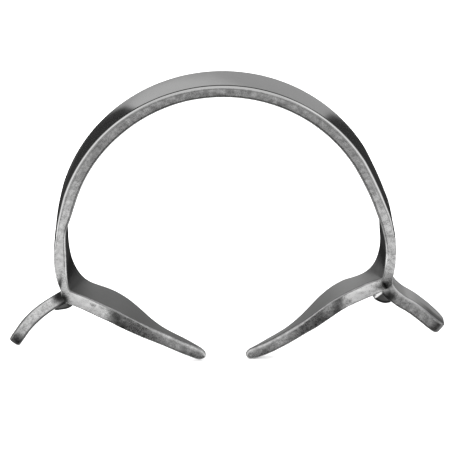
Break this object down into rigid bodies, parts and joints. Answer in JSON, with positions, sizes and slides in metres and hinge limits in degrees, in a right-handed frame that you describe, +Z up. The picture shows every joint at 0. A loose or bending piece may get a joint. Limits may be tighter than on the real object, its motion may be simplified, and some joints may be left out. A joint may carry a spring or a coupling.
{
  "type": "cheek retractor",
  "caption": "Self-retaining steel cheek retractor: a sprung omega bow with a long inner and a short outer blade at each end.",
  "frame": {"origin": "under the middle of the bow, level with the lower inner blade tip and in the middle of the strip's width", "axes": "+Z up from the blade tips to the crown of the bow, +X across the bow towards the right limb, +Y through the width of the strip to the back"},
  "size_m": [0.0962, 0.0114, 0.0658],
  "materials": {
    "polished_strip": "polished faces, ground edges",
    "polished_blade": "polished faces, ground edges",
    "braze": "filed and buffed filler metal"
  },
  "bodies": {
    "crown": {"bow_crown": "polished_strip"},
    "left_limb": {"bow_left_limb": "polished_strip", "left_inner_blade": "polished_blade", "left_outer_blade": "polished_blade", "left_braze_fillet": "braze"},
    "right_limb": {"bow_right_limb": "polished_strip", "right_inner_blade": "polished_blade", "right_outer_blade": "polished_blade", "right_braze_fillet": "braze"}
  },
  "joints": [
    {"name": "left_flex", "type": "hinge", "parent": "crown", "child": "left_limb", "pos_m": [-0.01861, 0, 0.05903], "axis": [0, -1, 0], "range_deg": [-3, 3.8], "stiffness_Nm_per_rad": 5},
    {"name": "right_flex", "type": "hinge", "parent": "crown", "child": "right_limb", "pos_m": [0.01861, 0, 0.05903], "axis": [0, 1, 0], "range_deg": [-3, 3.8], "stiffness_Nm_per_rad": 5}
  ],
  "couplings": [
    {"joint": "right_flex", "follows": "left_flex", "ratio": 1}
  ]
}
